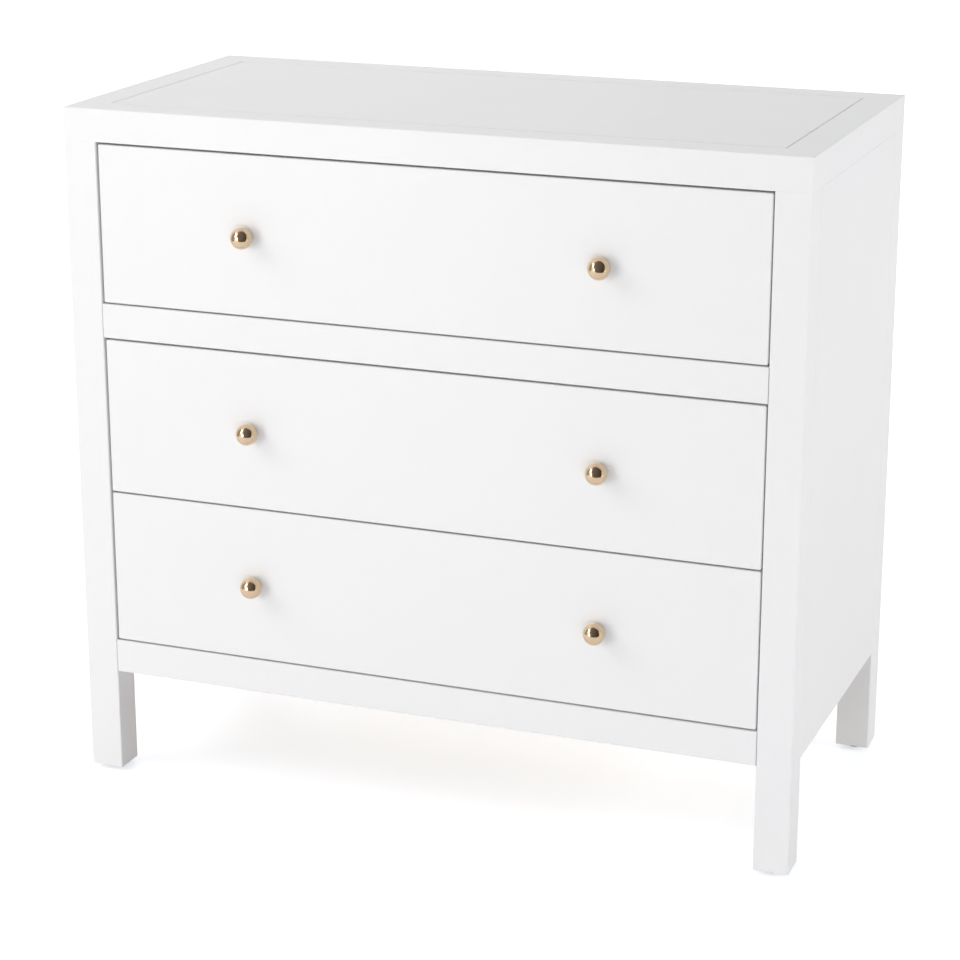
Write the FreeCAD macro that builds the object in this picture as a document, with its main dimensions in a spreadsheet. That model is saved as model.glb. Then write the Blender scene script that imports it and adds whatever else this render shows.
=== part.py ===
import FreeCAD, Part
import Sketcher

import math
import os
import re

# A campaign chest: a framed carcass on four square legs, three equal drawers with dovetailed
# boxes and applied fronts, and a pair of three-member ball-bearing slides for each drawer.
#
# +X is to the right, +Y to the back and +Z up, in millimetres. The origin is on the floor, under
# the middle of the chest's bounding box, which the knobs stretch a little to the front.

# The sizes that can be set by themselves, and the counts, as they go into the sheet.
SIZES = {
    "overall_width": 825.0,
    "overall_depth": 402.0,  # carcass alone, without the knobs
    "overall_height": 766.0,  # floor to top
    "floor_clearance": 123.5,  # floor to the underside of the bottom rails
    "post_section": 38.0,
    "rail_height": 38.0,
    "rail_depth": 38.0,
    "top_frame_width": 38.0,
    "top_frame_thickness": 36.0,
    "panel_thickness": 18.0,
    "tongue_thickness": 6.0,
    "tongue_length": 8.0,
    "v_groove": 0.9,  # each side of the groove, at 45 degrees
    "panel_gap": 0.8,  # room for the top panel to swell
    "edge_ease": 0.8,
    "seam_ease": 0.3,
    "tenon_length": 20.0,
    "tenon_thickness": 12.0,
    "tenon_height": 24.0,
    "back_thickness": 6.0,
    "back_inset": 2.0,
    "back_rebate": 10.0,
    "runner_height": 52.0,
    "glide_diameter": 20.0,
    "glide_height": 4.5,
    "gap_above": 2.5,
    "gap_below": 1.5,
    "gap_between": 2.0,
    "gap_side": 2.0,
    "front_recess": 1.5,
    "front_thickness": 18.0,
    "front_corner": 1.2,  # taken off each way, at 45 degrees
    "box_thickness": 12.0,
    "box_lift": 14.0,  # front's lower edge to the box's
    "box_drop": 19.5,  # front's upper edge to the box's
    "box_back_clearance": 19.5,
    "tails": 5,
    "pin_width": 6.0,  # narrow side of a pin
    "dovetail_slope": 7.0,  # one in this
    "bottom_thickness": 6.0,
    "bottom_groove": 6.0,
    "bottom_height": 10.0,
    "slide_thickness": 12.7,
    "slide_steel": 1.2,
    "slide_play": 0.8,  # web of the outer member to web of the middle one
    "slide_lip": 1.5,
    "slide_bend": 1.1,
    "outer_height": 45.0,
    "outer_flange": 9.2,
    "middle_flange": 8.4,
    "inner_flange": 8.4,
    "ball_diameter": 3.0,
    "cage_width": 4.0,
    "cage_length": 140.0,
    "cage_setback": 100.0,
    "cage_play": 0.15,
    "slide_setback": 2.0,  # false front to the slide's front end
    "slide_back_clearance": 22.5,
    "middle_shortfall": 10.0,
    "knob_diameter": 23.5,
    "knob_standoff": 12.5,  # ball's centre to the drawer front
    "knob_neck": 12.5,
    "knob_spacing": 397.0,
}

# What follows from them, each spelled with the names above and those before it.
DERIVED = {
    "knob_reach": "knob_standoff + knob_diameter / 2 - front_recess",
    "carcass_front": "(knob_reach - overall_depth) / 2",
    "carcass_back": "(knob_reach + overall_depth) / 2",
    "opening_width": "overall_width - 2 * post_section",
    "side_length": "overall_depth - 2 * post_section",
    "runner_thickness": "post_section - panel_thickness",
    "back_seat": "back_inset + back_thickness",
    "back_rail_depth": "rail_depth - back_seat",
    "back_panel_width": "opening_width + 2 * back_rebate",
    "top_underside": "overall_height - top_frame_thickness",
    "panel_height": "top_underside - floor_clearance",
    "post_height": "top_underside - glide_height",
    "top_panel_width": "overall_width - 2 * top_frame_width - 2 * panel_gap",
    "top_panel_depth": "overall_depth - 2 * top_frame_width - 2 * panel_gap",
    "top_tongue_height": "top_frame_thickness - panel_thickness / 2 - tongue_thickness / 2",
    "front_width": "opening_width - 2 * gap_side",
    "front_height": "(panel_height - 2 * rail_height - 2 * gap_above - 2 * gap_below - gap_between) / 3",
    "front_face": "carcass_front + front_recess",
    "drawer_3_level": "floor_clearance + rail_height + gap_below",
    "drawer_2_level": "drawer_3_level + front_height + gap_between",
    "mid_rail_bottom": "drawer_2_level + front_height + gap_above",
    "drawer_1_level": "mid_rail_bottom + rail_height + gap_below",
    "box_face": "front_face + front_thickness",
    "box_width": "opening_width - 2 * slide_thickness",
    "box_inner_width": "box_width - 2 * box_thickness",
    "box_height": "front_height - box_lift - box_drop",
    "box_depth": "carcass_back - back_seat - box_back_clearance - box_face",
    "tail_pitch": "box_height / tails",
    "pin_root": "pin_width + 2 * box_thickness / dovetail_slope",
    "slide_front": "box_face + slide_setback",
    "slide_length": "carcass_back - back_seat - slide_back_clearance - slide_front",
    "slide_height": "box_lift + box_height / 2",
    "middle_height": "outer_height - 2 * slide_steel - 2 * ball_diameter",
    "inner_height": "middle_height - 2 * slide_steel - 2 * ball_diameter",
    "middle_web": "slide_steel + slide_play",
}

doc = FreeCAD.newDocument("campaign_chest")
dims = doc.addObject("Spreadsheet::Sheet", "Dims")
for row, (alias, value) in enumerate(SIZES.items(), 1):
    dims.set(f"A{row}", alias)
    dims.set(f"B{row}", str(value))
    dims.setAlias(f"B{row}", alias)
doc.recompute()


def formula(text):
    """The expression for a formula in plain names: sheet cells, and derived values spelled out."""

    def spelled(match):
        word = match.group(0)
        return f"({formula(DERIVED[word])})" if word in DERIVED else f"Dims.{word}"

    return re.sub(r"[a-z]\w*", spelled, str(text))


def new_body(name, place=("0", "0", "0"), turn=0):
    """An empty body whose file is called `name`, turned about Z and then placed."""
    body = doc.addObject("PartDesign::Body", name)
    body.Label = name
    body.Placement = FreeCAD.Placement(FreeCAD.Vector(), FreeCAD.Rotation(FreeCAD.Vector(0, 0, 1), turn))
    for axis, where in zip("xyz", place):
        body.setExpression(f".Placement.Base.{axis}", formula(where))
    return body


def origin_feature(body, role):
    """The body's own origin plane or axis with this role."""
    return next(f for f in body.Origin.OriginFeatures if f.Role == role)


def new_sketch(body, role, lift="0"):
    """An empty sketch on the body's own origin plane, lifted along that plane's normal.

    Across and up are X and Y on XY_Plane, X and Z on XZ_Plane, whose normal is -Y, and Y and Z
    on YZ_Plane.
    """
    sketch = body.newObject("Sketcher::SketchObject", "Sketch")
    sketch.AttachmentSupport = (origin_feature(body, role), "")
    sketch.MapMode = "FlatFace"
    sketch.setExpression(".AttachmentOffset.Base.z", formula(lift))
    return sketch


def pin(sketch, geometry, end, across, up):
    """Ties one point of the sketch's geometry to its two distances from the sketch's origin."""
    point = sketch.getPoint(geometry, end)
    for kind, now, distance in (("DistanceX", point.x, across), ("DistanceY", point.y, up)):
        index = sketch.addConstraint(Sketcher.Constraint(kind, -1, 1, geometry, end, now))
        sketch.setExpression(f"Constraints[{index}]", formula(distance))


def add_outline(sketch, corners):
    """A closed outline of straight lines through corners given as (across, up) formulas.

    The lines start on a parabola, where no two are in line, and the constraints move them.
    """
    count = len(corners)
    first = sketch.GeometryCount
    parabola = [FreeCAD.Vector(i, i * i, 0) for i in range(count + 1)]
    for start, end in zip(parabola, parabola[1:]):
        sketch.addGeometry(Part.LineSegment(start, end))
    for i, (across, up) in enumerate(corners):
        after = first + (i + 1) % count
        sketch.addConstraint(Sketcher.Constraint("Coincident", first + i, 2, after, 1))
        pin(sketch, first + i, 1, across, up)


def add_circle(sketch, across, up, diameter):
    """A circle whose centre and diameter are formulas."""
    start = Part.Circle()
    index = sketch.addGeometry(start)
    pin(sketch, index, 3, across, up)
    size = sketch.addConstraint(Sketcher.Constraint("Diameter", index, 2 * start.Radius))
    sketch.setExpression(f"Constraints[{size}]", formula(diameter))


def rectangle(left, low, right, high):
    """The corners of an upright rectangle."""
    return [(left, low), (right, low), (right, high), (left, high)]


def eased_rectangle(right, high):
    """The corners of a rectangle from zero to (right, high) with its four corners eased."""
    return [
        ("edge_ease", "0"),
        (f"{right} - edge_ease", "0"),
        (right, "edge_ease"),
        (right, f"{high} - edge_ease"),
        (f"{right} - edge_ease", high),
        ("edge_ease", high),
        ("0", f"{high} - edge_ease"),
        ("0", "edge_ease"),
    ]


def outline_sketch(body, role, outlines, lift="0"):
    sketch = new_sketch(body, role, lift)
    for corners in outlines:
        add_outline(sketch, corners)
    return sketch


def circle_sketch(body, role, centres, diameter, lift="0"):
    sketch = new_sketch(body, role, lift)
    for across, up in centres:
        add_circle(sketch, across, up, diameter)
    return sketch


def pad(body, sketch, length, both_ways=False, backwards=False):
    """Adds the sketch's area, swept along its normal, or against it, or half each way."""
    feature = body.newObject("PartDesign::Pad", "Pad")
    feature.Profile = sketch
    feature.SideType = "Symmetric" if both_ways else "One side"
    feature.Reversed = backwards
    feature.setExpression("Length", formula(length))
    doc.recompute()


def pocket(body, sketch, depth):
    """Cuts the sketch's area to this depth on both sides of its plane, and checks that it cuts."""
    before = body.Tip.Shape.Volume
    feature = body.newObject("PartDesign::Pocket", "Pocket")
    feature.Profile = sketch
    feature.SideType = "Symmetric"
    feature.setExpression("Length", formula(f"2 * ({depth})"))
    doc.recompute()
    if feature.Shape.Volume >= before:
        raise RuntimeError(f"a pocket of {body.Label} cuts nothing")
    return feature


def revolve(body, sketch):
    """Turns the sketch's area all the way round the body's Y axis."""
    feature = body.newObject("PartDesign::Revolution", "Revolution")
    feature.Profile = sketch
    feature.ReferenceAxis = (origin_feature(body, "Y_Axis"), [""])
    feature.Angle = 360
    doc.recompute()


def repeat(body, axis, length, count, cut=None):
    """Repeats the whole body, or one cut of it, along an axis, `length` from first to last."""
    pattern = body.newObject("PartDesign::LinearPattern", "LinearPattern")
    pattern.TransformMode = "Features" if cut else "Whole shape"
    pattern.Originals = [cut] if cut else []
    pattern.Direction = (origin_feature(body, axis), [""])
    pattern.Mode = "Extent"
    pattern.setExpression("Length", formula(length))
    pattern.setExpression("Occurrences", formula(count))
    body.Tip = pattern
    doc.recompute()


def mirror(body):
    """Copies the whole body to the other side of its YZ plane."""
    mirrored = body.newObject("PartDesign::Mirrored", "Mirrored")
    mirrored.TransformMode = "Whole shape"
    mirrored.MirrorPlane = (origin_feature(body, "YZ_Plane"), [""])
    body.Tip = mirrored
    doc.recompute()


def dress(body, kind, size, wanted):
    """A PartDesign Chamfer or Fillet on each edge whose ends pass the test `wanted`."""
    base = body.Tip
    names = [
        f"Edge{i}"
        for i, edge in enumerate(base.Shape.Edges, 1)
        if wanted(*(vertex.Point for vertex in edge.Vertexes))
    ]
    feature = body.newObject(f"PartDesign::{kind}", kind)
    feature.Base = (base, names)
    feature.setExpression("Size" if kind == "Chamfer" else "Radius", formula(size))
    doc.recompute()


def at_height(*heights):
    """A test for the edges that lie at one of these heights."""
    return lambda *ends: any(all(abs(p.z - z) < 1e-6 for p in ends) for z in heights)


def along_y_at(corners):
    """A test for the edges along Y that pass through one of these corners of a section."""

    def wanted(*ends):
        flat = [FreeCAD.Vector(p.x, 0, p.z) for p in ends]
        return any(all((p - corner).Length < 1e-6 for p in flat) for corner in corners)

    return wanted


# ---------------------------------------------------------------------------- carcass


def top_rail(name, length, place, turn):
    """A rail of the mitred top frame: outer face on its XZ plane, middle of its length at x = 0."""
    body = new_body(name, place, turn)
    groove_top = "top_tongue_height + tongue_thickness"
    groove_end = "top_frame_width - tongue_length"
    section = [
        ("seam_ease", "0"),
        ("top_frame_width", "0"),
        ("top_frame_width", "top_tongue_height"),
        (groove_end, "top_tongue_height"),
        (groove_end, groove_top),
        ("top_frame_width", groove_top),
        ("top_frame_width", "top_frame_thickness - v_groove"),
        ("top_frame_width - v_groove", "top_frame_thickness"),
        ("edge_ease", "top_frame_thickness"),
        ("0", "top_frame_thickness - edge_ease"),
        ("0", "seam_ease"),
    ]
    pad(body, outline_sketch(body, "YZ_Plane", [section]), length, both_ways=True)
    mitres = [
        [
            (f"{end} * ({length}) / 2", "0"),
            (f"{end} * ({length}) / 2", "top_frame_width"),
            (f"{end} * (({length}) / 2 - top_frame_width)", "top_frame_width"),
        ]
        for end in (-1, 1)
    ]
    pocket(body, outline_sketch(body, "XY_Plane", mitres), "top_frame_thickness")


def top_frame():
    half_width = "overall_width / 2"
    middle = "(carcass_front + carcass_back) / 2"
    top_rail("top_rail_front", "overall_width", ("0", "carcass_front", "top_underside"), 0)
    top_rail("top_rail_back", "overall_width", ("0", "carcass_back", "top_underside"), 180)
    top_rail("top_rail_left", "overall_depth", (f"-{half_width}", middle, "top_underside"), -90)
    top_rail("top_rail_right", "overall_depth", (half_width, middle, "top_underside"), 90)


def top_panel():
    """The flush panel, free to swell, with a tongue all round in the grooves of the frame."""
    body = new_body("top_panel", ("0", "(carcass_front + carcass_back) / 2", "top_underside"))
    low = "top_frame_thickness - panel_thickness"
    half_x = "top_panel_width / 2"
    half_y = "top_panel_depth / 2"
    board = rectangle(f"-{half_x}", f"-{half_y}", half_x, half_y)
    pad(body, outline_sketch(body, "XY_Plane", [board], low), "panel_thickness")
    dress(body, "Chamfer", "v_groove", at_height(body.Tip.Shape.BoundBox.ZMax))
    half_x = f"({half_x} + panel_gap + tongue_length)"
    half_y = f"({half_y} + panel_gap + tongue_length)"
    tongue = rectangle(f"-{half_x}", f"-{half_y}", half_x, half_y)
    pad(body, outline_sketch(body, "XY_Plane", [tongue], "top_tongue_height"), "tongue_thickness")


def post(name, side, end):
    """A square post that runs down as a leg. Its origin is its outer corner at the leg's foot.

    `side` is -1 at the left and 1 at the right, `end` is -1 at the front and 1 at the back.
    """
    outer_y = "carcass_front" if end < 0 else "carcass_back"
    body = new_body(name, (f"{side} * overall_width / 2", outer_y, "glide_height"))

    def corners(points):
        """Points given by their distances in from the post's two outer faces."""
        return [(f"{-side} * ({inward})", f"{-end} * ({deep})") for inward, deep in points]

    square = corners(eased_rectangle("post_section", "post_section"))
    pad(body, outline_sketch(body, "XY_Plane", [square]), "post_height")
    dress(body, "Chamfer", "seam_ease", at_height(0, body.Tip.Shape.BoundBox.ZMax))

    tongue_start = "(panel_thickness - tongue_thickness) / 2"
    tongue_end = "(panel_thickness + tongue_thickness) / 2"
    groove = rectangle(tongue_start, "post_section - tongue_length", tongue_end, "post_section")
    bevel = [("0", "post_section - v_groove"), ("v_groove", "post_section"), ("0", "post_section")]
    panel_joint = [corners(groove), corners(bevel)]
    pocket(body, outline_sketch(body, "XY_Plane", panel_joint, "post_height"), "panel_height")

    cut_mortises(body, side, end)
    if end > 0:
        rebate = corners(rectangle("post_section - back_rebate", "0", "post_section", "back_seat"))
        pocket(body, outline_sketch(body, "XY_Plane", [rebate], "post_height"), "panel_height")


def cut_mortises(body, side, end):
    """Mortises for the tenons of the rails, in the post's face toward the other side."""
    if end < 0:
        undersides = ("floor_clearance - glide_height", "mid_rail_bottom - glide_height")
        middle = "rail_depth / 2"
    else:
        undersides = ("floor_clearance - glide_height",)
        middle = "-(back_seat + back_rail_depth / 2)"
    mortises = [
        rectangle(
            f"{middle} - tenon_thickness / 2",
            f"{underside} + (rail_height - tenon_height) / 2",
            f"{middle} + tenon_thickness / 2",
            f"{underside} + (rail_height + tenon_height) / 2",
        )
        for underside in undersides
    ]
    face = f"{-side} * post_section"
    pocket(body, outline_sketch(body, "YZ_Plane", mortises, face), "tenon_length")


def rail(name, underside, end):
    """A rail between two posts with a tenon at each end, its origin on the posts' outer plane."""
    outer_y = "carcass_front" if end < 0 else "carcass_back - back_seat"
    depth = "rail_depth" if end < 0 else "back_rail_depth"
    body = new_body(name, ("0", outer_y, underside))
    section = [(f"{-end} * ({y})", z) for y, z in eased_rectangle(depth, "rail_height")]
    pad(body, outline_sketch(body, "YZ_Plane", [section]), "opening_width", both_ways=True)
    tenon = rectangle(
        f"{-end} * {depth} / 2 - tenon_thickness / 2",
        "(rail_height - tenon_height) / 2",
        f"{-end} * {depth} / 2 + tenon_thickness / 2",
        "(rail_height + tenon_height) / 2",
    )
    tenon_to_tenon = "opening_width + 2 * tenon_length"
    pad(body, outline_sketch(body, "YZ_Plane", [tenon]), tenon_to_tenon, both_ways=True)


def side_panel(name, side):
    """A flush side panel with a tongue along each upright edge and a bevel beside each post."""
    place = (f"{side} * overall_width / 2", "carcass_front + post_section", "floor_clearance")
    body = new_body(name, place)
    tongue_start = "(panel_thickness - tongue_thickness) / 2"
    tongue_end = "(panel_thickness + tongue_thickness) / 2"
    plan = [
        ("0", "v_groove"),
        ("v_groove", "0"),
        (tongue_start, "0"),
        (tongue_start, "-tongue_length"),
        (tongue_end, "-tongue_length"),
        (tongue_end, "0"),
        ("panel_thickness", "0"),
        ("panel_thickness", "side_length"),
        (tongue_end, "side_length"),
        (tongue_end, "side_length + tongue_length"),
        (tongue_start, "side_length + tongue_length"),
        (tongue_start, "side_length"),
        ("v_groove", "side_length"),
        ("0", "side_length - v_groove"),
    ]
    outline = [(f"{-side} * ({inward})", y) for inward, y in plan]
    pad(body, outline_sketch(body, "XY_Plane", [outline]), "panel_height")


def back_panel():
    """A thin panel in the rebates of the back posts, behind the back rail."""
    body = new_body("back_panel", ("0", "carcass_back - back_inset", "floor_clearance"))
    half = "back_panel_width / 2"
    board = rectangle(f"-{half}", "0", half, "panel_height")
    pad(body, outline_sketch(body, "XZ_Plane", [board]), "back_thickness")


def runner_battens():
    """Battens on the side panels, level with the posts' inner faces, one behind each slide."""
    body = new_body("runner_battens", ("0", "carcass_front + post_section", "0"))
    battens = []
    for number in (1, 2, 3):
        middle = f"(drawer_{number}_level + slide_height)"
        low = f"{middle} - runner_height / 2"
        high = f"{middle} + runner_height / 2"
        battens.append(rectangle("0", low, "side_length", high))
    left_face = outline_sketch(body, "YZ_Plane", battens, "-opening_width / 2")
    pad(body, left_face, "runner_thickness", backwards=True)
    mirror(body)


def foot_glides():
    """A round glide under the middle of each leg."""
    body = new_body("foot_glides", ("0", "(carcass_front + carcass_back) / 2", "0"))
    across = "(overall_width - post_section) / 2"
    deep = "(overall_depth - post_section) / 2"
    feet = [(f"{x} * {across}", f"{y} * {deep}") for x in (-1, 1) for y in (-1, 1)]
    pad(body, circle_sketch(body, "XY_Plane", feet, "glide_diameter"), "glide_height")


# ---------------------------------------------------------------------------- drawers


def drawer_front(number):
    """The applied front, with its corners taken off and the edges of its face eased."""
    body = new_body(f"drawer_{number}_front", ("0", "front_face", f"drawer_{number}_level"))
    half = "front_width / 2"
    board = outline_sketch(body, "XZ_Plane", [rectangle(f"-{half}", "0", half, "front_height")])
    pad(body, board, "front_thickness", backwards=True)
    dress(body, "Chamfer", "front_corner", lambda *ends: len({round(p.y, 6) for p in ends}) == 2)
    dress(body, "Chamfer", "edge_ease", lambda *ends: all(abs(p.y) < 1e-6 for p in ends))


def end_board(name, number, end):
    """The sub-front or the back of a drawer box: pins at both ends, a groove for the bottom.

    The origin is the middle of the outer face's lower edge.
    """
    outer_y = "box_face" if end < 0 else "box_face + box_depth"
    body = new_body(name, ("0", outer_y, f"drawer_{number}_level + box_lift"))
    half = "box_width / 2"
    board = outline_sketch(body, "XZ_Plane", [rectangle(f"-{half}", "0", half, "box_height")])
    pad(body, board, "box_thickness", backwards=end < 0)
    tail = [
        (f"{-end} * ({deep})", f"tail_pitch / 2 + {sign} * (tail_pitch - {pin_there}) / 2")
        for deep, pin_there, sign in (
            ("0", "pin_width", -1),
            ("box_thickness", "pin_root", -1),
            ("box_thickness", "pin_root", 1),
            ("0", "pin_width", 1),
        )
    ]
    for side in (-1, 1):
        socket = outline_sketch(body, "YZ_Plane", [tail], f"{side} * {half}")
        cut = pocket(body, socket, "box_thickness")
        repeat(body, "Z_Axis", "box_height - tail_pitch", "tails", cut)
    half = "box_inner_width / 2"
    groove = rectangle(f"-{half}", "bottom_height", half, "bottom_height + bottom_thickness")
    inner_face = f"{end} * box_thickness"
    pocket(body, outline_sketch(body, "XZ_Plane", [groove], inner_face), "bottom_groove")


def box_side(name, number, side):
    """A side of a drawer box: tails at both ends and a stopped groove for the bottom."""
    place = (f"{side} * box_width / 2", "box_face", f"drawer_{number}_level + box_lift")
    body = new_body(name, place)
    board = outline_sketch(body, "YZ_Plane", [rectangle("0", "0", "box_depth", "box_height")])
    pad(body, board, "box_thickness", backwards=side > 0)
    sockets = []
    for face, inner in (("0", "box_thickness"), ("box_depth", "box_depth - box_thickness")):
        narrow = "pin_width / 2"
        wide = "pin_root / 2"
        pin_shape = [(face, f"-{narrow}"), (inner, f"-{wide}"), (inner, wide), (face, narrow)]
        sockets.append(pin_shape)
    cut = pocket(body, outline_sketch(body, "YZ_Plane", sockets), "box_thickness")
    repeat(body, "Z_Axis", "box_height", "tails + 1", cut)
    stop = "(box_thickness - bottom_groove)"
    top = "bottom_height + bottom_thickness"
    groove = rectangle(stop, "bottom_height", f"box_depth - {stop}", top)
    inner_face = f"{-side} * box_thickness"
    pocket(body, outline_sketch(body, "YZ_Plane", [groove], inner_face), "bottom_groove")


def drawer_bottom(number):
    """The plywood bottom, let into the grooves of the four boards."""
    place = ("0", "box_face", f"drawer_{number}_level + box_lift")
    body = new_body(f"drawer_{number}_bottom", place)
    half = "(box_inner_width / 2 + bottom_groove)"
    stop = "(box_thickness - bottom_groove)"
    sheet = rectangle(f"-{half}", stop, half, f"box_depth - {stop}")
    pad(body, outline_sketch(body, "XY_Plane", [sheet], "bottom_height"), "bottom_thickness")


def knobs(number):
    """Two ball knobs, each on a short neck that stands on the drawer front."""
    place = ("-knob_spacing / 2", "front_face", f"drawer_{number}_level + front_height / 2")
    body = new_body(f"drawer_{number}_knobs", place)
    revolve(body, knob_profile(body))
    repeat(body, "X_Axis", "knob_spacing", "2")


def knob_profile(body):
    """Half the knob's section on the XY plane: Y is its axis, and the ball is toward -Y.

    The four curves start near their places and take their sizes from the constraints. The ball's
    arc runs from its tip, on the axis, to its root, where it meets the neck.
    """
    sketch = new_sketch(body, "XY_Plane")
    tip, origin, foot, root = (FreeCAD.Vector(*p, 0) for p in ((0, -24), (0, 0), (6, 0), (6, -2)))
    circle = Part.Circle(FreeCAD.Vector(0, -12, 0), FreeCAD.Vector(0, 0, 1), 12)
    ball = sketch.addGeometry(Part.ArcOfCircle(circle, -math.pi / 2, math.pi / 3))
    axis = sketch.addGeometry(Part.LineSegment(tip, origin))
    base = sketch.addGeometry(Part.LineSegment(origin, foot))
    neck = sketch.addGeometry(Part.LineSegment(foot, root))
    for one, its_end, other, its_start in (
        (ball, 1, axis, 1),
        (axis, 2, base, 1),
        (base, 2, neck, 1),
        (neck, 2, ball, 2),
    ):
        sketch.addConstraint(Sketcher.Constraint("Coincident", one, its_end, other, its_start))
    sketch.addConstraint(Sketcher.Constraint("Vertical", neck))
    pin(sketch, ball, 3, "0", "-knob_standoff")
    pin(sketch, axis, 1, "0", "-(knob_standoff + knob_diameter / 2)")
    pin(sketch, base, 1, "0", "0")
    pin(sketch, neck, 1, "knob_neck / 2", "0")
    return sketch


# ---------------------------------------------------------------------------- slides


def slide_body(name, number, section, start, length):
    """A pair of bars run back from `start` behind the slides' front, with their mirror image.

    The section holds the outlines of the left-hand bars, drawn by their distance in from the
    post's inner face and their height over the slide's middle.
    """
    place = ("0", f"slide_front + {start}", f"drawer_{number}_level + slide_height")
    body = new_body(name, place)
    outlines = [[(f"{x} - opening_width / 2", z) for x, z in corners] for corners in section]
    pad(body, outline_sketch(body, "XZ_Plane", outlines), length, backwards=True)
    return body


def channel(web, height, flange, opens=1, lip="0"):
    """The section of a bent steel channel: web at `web`, flanges toward the side it opens to."""

    def across(distance):
        return f"{web} + {opens} * ({distance})"

    half = f"({height}) / 2"
    inner = f"({half} - slide_steel)"
    lip_end = f"({inner} - {lip})"
    lower = [
        ("0", f"-{half}"),
        (flange, f"-{half}"),
        (flange, f"-{lip_end}"),
        (f"{flange} - slide_steel", f"-{lip_end}"),
        (f"{flange} - slide_steel", f"-{inner}"),
        ("slide_steel", f"-{inner}"),
    ]
    if lip == "0":
        lower = lower[:3] + lower[5:]
    upper = [(x, z.lstrip("-")) for x, z in reversed(lower)]
    return [(across(x), z) for x, z in lower + upper]


def slide_pair(name, number, section, length):
    """The left and right members of one kind, with the bends beside their webs rounded."""
    body = slide_body(name, number, [section], "0", length)
    bounds = body.Tip.Shape.BoundBox
    web = bounds.XMax if name.endswith("inner") else bounds.XMin
    corners = [FreeCAD.Vector(web, 0, z) for z in (bounds.ZMin, bounds.ZMax)]
    dress(body, "Fillet", "slide_bend", along_y_at(corners))
    mirror(body)


def ball_cages(name, number, member_height, start):
    """The four ball cages between two members: plain bars that fill the race above and below."""
    race = f"(({member_height}) / 2 - slide_steel)"
    near = f"{race} - ball_diameter + cage_play"
    far = f"({race} - cage_play)"
    upper = rectangle(start, f"({near})", f"{start} + cage_width", far)
    lower = rectangle(start, f"-{far}", f"{start} + cage_width", f"-({near})")
    body = slide_body(name, number, [lower, upper], "cage_setback", "cage_length")
    mirror(body)


def slides(number):
    """Outer members on the posts, inner members on the drawer, and what runs between them."""
    outer = channel("0", "outer_height", "outer_flange", 1, "slide_lip")
    middle = channel("middle_web", "middle_height", "middle_flange", 1, "slide_lip")
    inner = channel("slide_thickness", "inner_height", "inner_flange", -1)
    slide_pair(f"drawer_{number}_slide_outer", number, outer, "slide_length")
    slide_pair(f"drawer_{number}_slide_middle", number, middle, "slide_length - middle_shortfall")
    slide_pair(f"drawer_{number}_slide_inner", number, inner, "slide_length")

    outer_room = "outer_flange - slide_steel - middle_web - cage_width"
    inner_tip = "(slide_thickness - inner_flange)"
    inner_room = f"middle_web + middle_flange - slide_steel - {inner_tip} - cage_width"
    outer_start = f"middle_web + ({outer_room}) / 2"
    inner_start = f"{inner_tip} + ({inner_room}) / 2"
    ball_cages(f"drawer_{number}_outer_cages", number, "outer_height", outer_start)
    ball_cages(f"drawer_{number}_inner_cages", number, "middle_height", inner_start)


# ---------------------------------------------------------------------------- the whole chest


def build_chest():
    top_frame()
    top_panel()
    for side, side_name in ((-1, "left"), (1, "right")):
        post(f"post_front_{side_name}", side, -1)
        post(f"post_back_{side_name}", side, 1)
        side_panel(f"side_panel_{side_name}", side)
    rail("mid_rail", "mid_rail_bottom", -1)
    rail("bottom_rail_front", "floor_clearance", -1)
    rail("bottom_rail_back", "floor_clearance", 1)
    back_panel()
    runner_battens()
    foot_glides()
    for number in (1, 2, 3):
        drawer_front(number)
        end_board(f"drawer_{number}_box_front", number, -1)
        end_board(f"drawer_{number}_box_back", number, 1)
        box_side(f"drawer_{number}_side_left", number, -1)
        box_side(f"drawer_{number}_side_right", number, 1)
        drawer_bottom(number)
        knobs(number)
        slides(number)


def check_document():
    """Every object has recomputed, and every sub-part has a sound shape."""
    doc.recompute()
    failed = [o.Name for o in doc.Objects if {"Invalid", "Error"} & set(o.State)]
    if failed:
        raise RuntimeError(f"failed objects: {failed}")
    for body in sub_parts():
        if body.Shape.isNull() or not body.Shape.isValid():
            raise RuntimeError(f"{body.Label} has no sound shape")


def sub_parts():
    return [o for o in doc.Objects if o.TypeId == "PartDesign::Body"]


build_chest()
check_document()
os.makedirs("parts", exist_ok=True)
for body in sub_parts():
    body.Shape.exportStep(f"parts/{body.Label}.step")
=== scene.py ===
import math

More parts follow.
